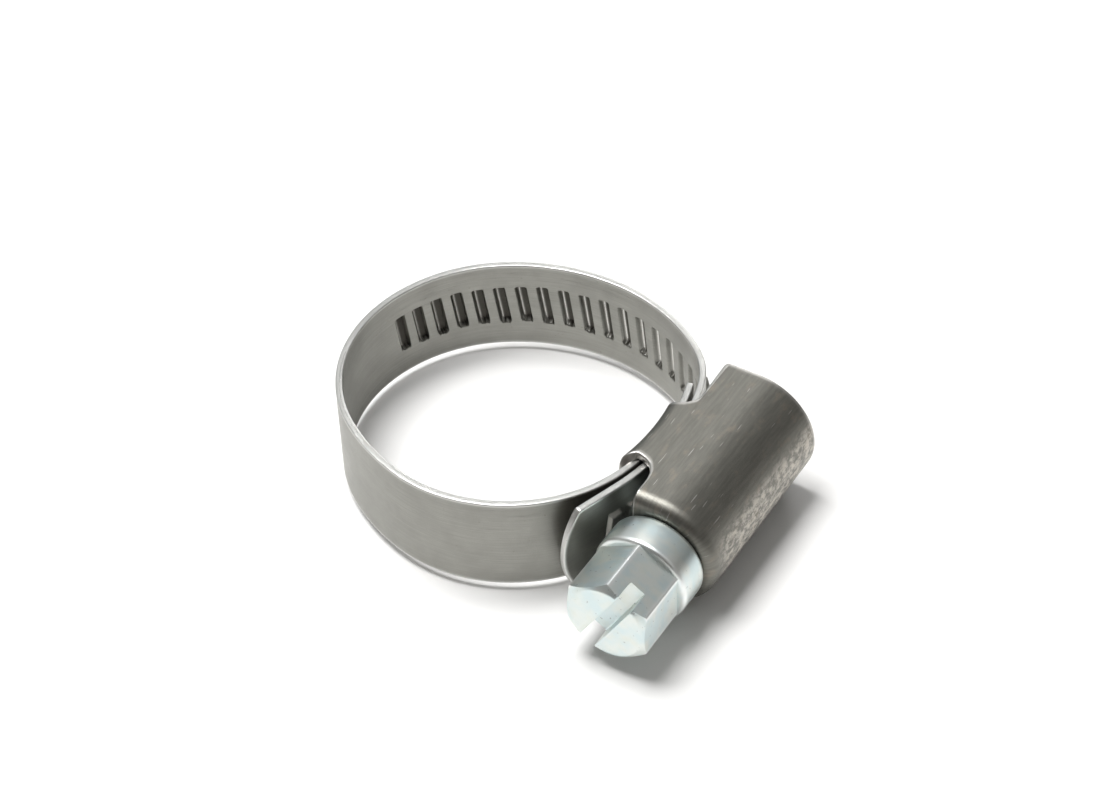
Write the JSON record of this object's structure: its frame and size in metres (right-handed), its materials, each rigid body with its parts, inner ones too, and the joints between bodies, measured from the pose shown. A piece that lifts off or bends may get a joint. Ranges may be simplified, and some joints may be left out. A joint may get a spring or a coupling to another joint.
{
  "type": "hose clamp",
  "caption": "Worm-drive hose clamp: a toothed steel band drawn through a pressed housing by a slotted hexagon worm screw.",
  "frame": {"origin": "centre of the hose circle, at the middle of the band's width", "axes": "+Z along the hose, +X from the hose towards the housing and screw, +Y along the screw away from its hexagon head"},
  "size_m": [0.0386, 0.0318, 0.0108],
  "materials": {
    "housing_steel": "dull pressed stainless sheet",
    "band_steel": "satin rolled stainless strip",
    "screw_zinc": "bright zinc plate"
  },
  "bodies": {
    "housing": {"housing": "housing_steel", "band_fixed_end": "band_steel"},
    "front_stretch": {"band_front": "band_steel"},
    "back_stretch": {"band_back": "band_steel"},
    "free_end": {"band_free_end": "band_steel"},
    "screw": {"worm_screw": "screw_zinc"}
  },
  "joints": [
    {"name": "screw_turn", "type": "hinge", "parent": "housing", "child": "screw", "pos_m": [0.01934, -0.008, 0], "axis": [0, 1, 0], "range_deg": [-390, 390]},
    {"name": "front_bend", "type": "hinge", "parent": "housing", "child": "front_stretch", "pos_m": [0.01445, -0.00447, 0], "axis": [0, 0, 1], "range_deg": [-0.9, 0.9]},
    {"name": "side_bend", "type": "hinge", "parent": "front_stretch", "child": "back_stretch", "pos_m": [-0.01405, 0, 0], "axis": [0, 0, 1], "range_deg": [-4.05, 4.05]},
    {"name": "back_bend", "type": "hinge", "parent": "back_stretch", "child": "free_end", "pos_m": [0.01478, 0.00674, 0], "axis": [0, 0, 1], "range_deg": [-0.6, 0.6]}
  ],
  "couplings": [
    {"joint": "front_bend", "follows": "screw_turn", "ratio": -0.0021706},
    {"joint": "side_bend", "follows": "screw_turn", "ratio": -0.01027},
    {"joint": "back_bend", "follows": "screw_turn", "ratio": -0.0014413}
  ]
}
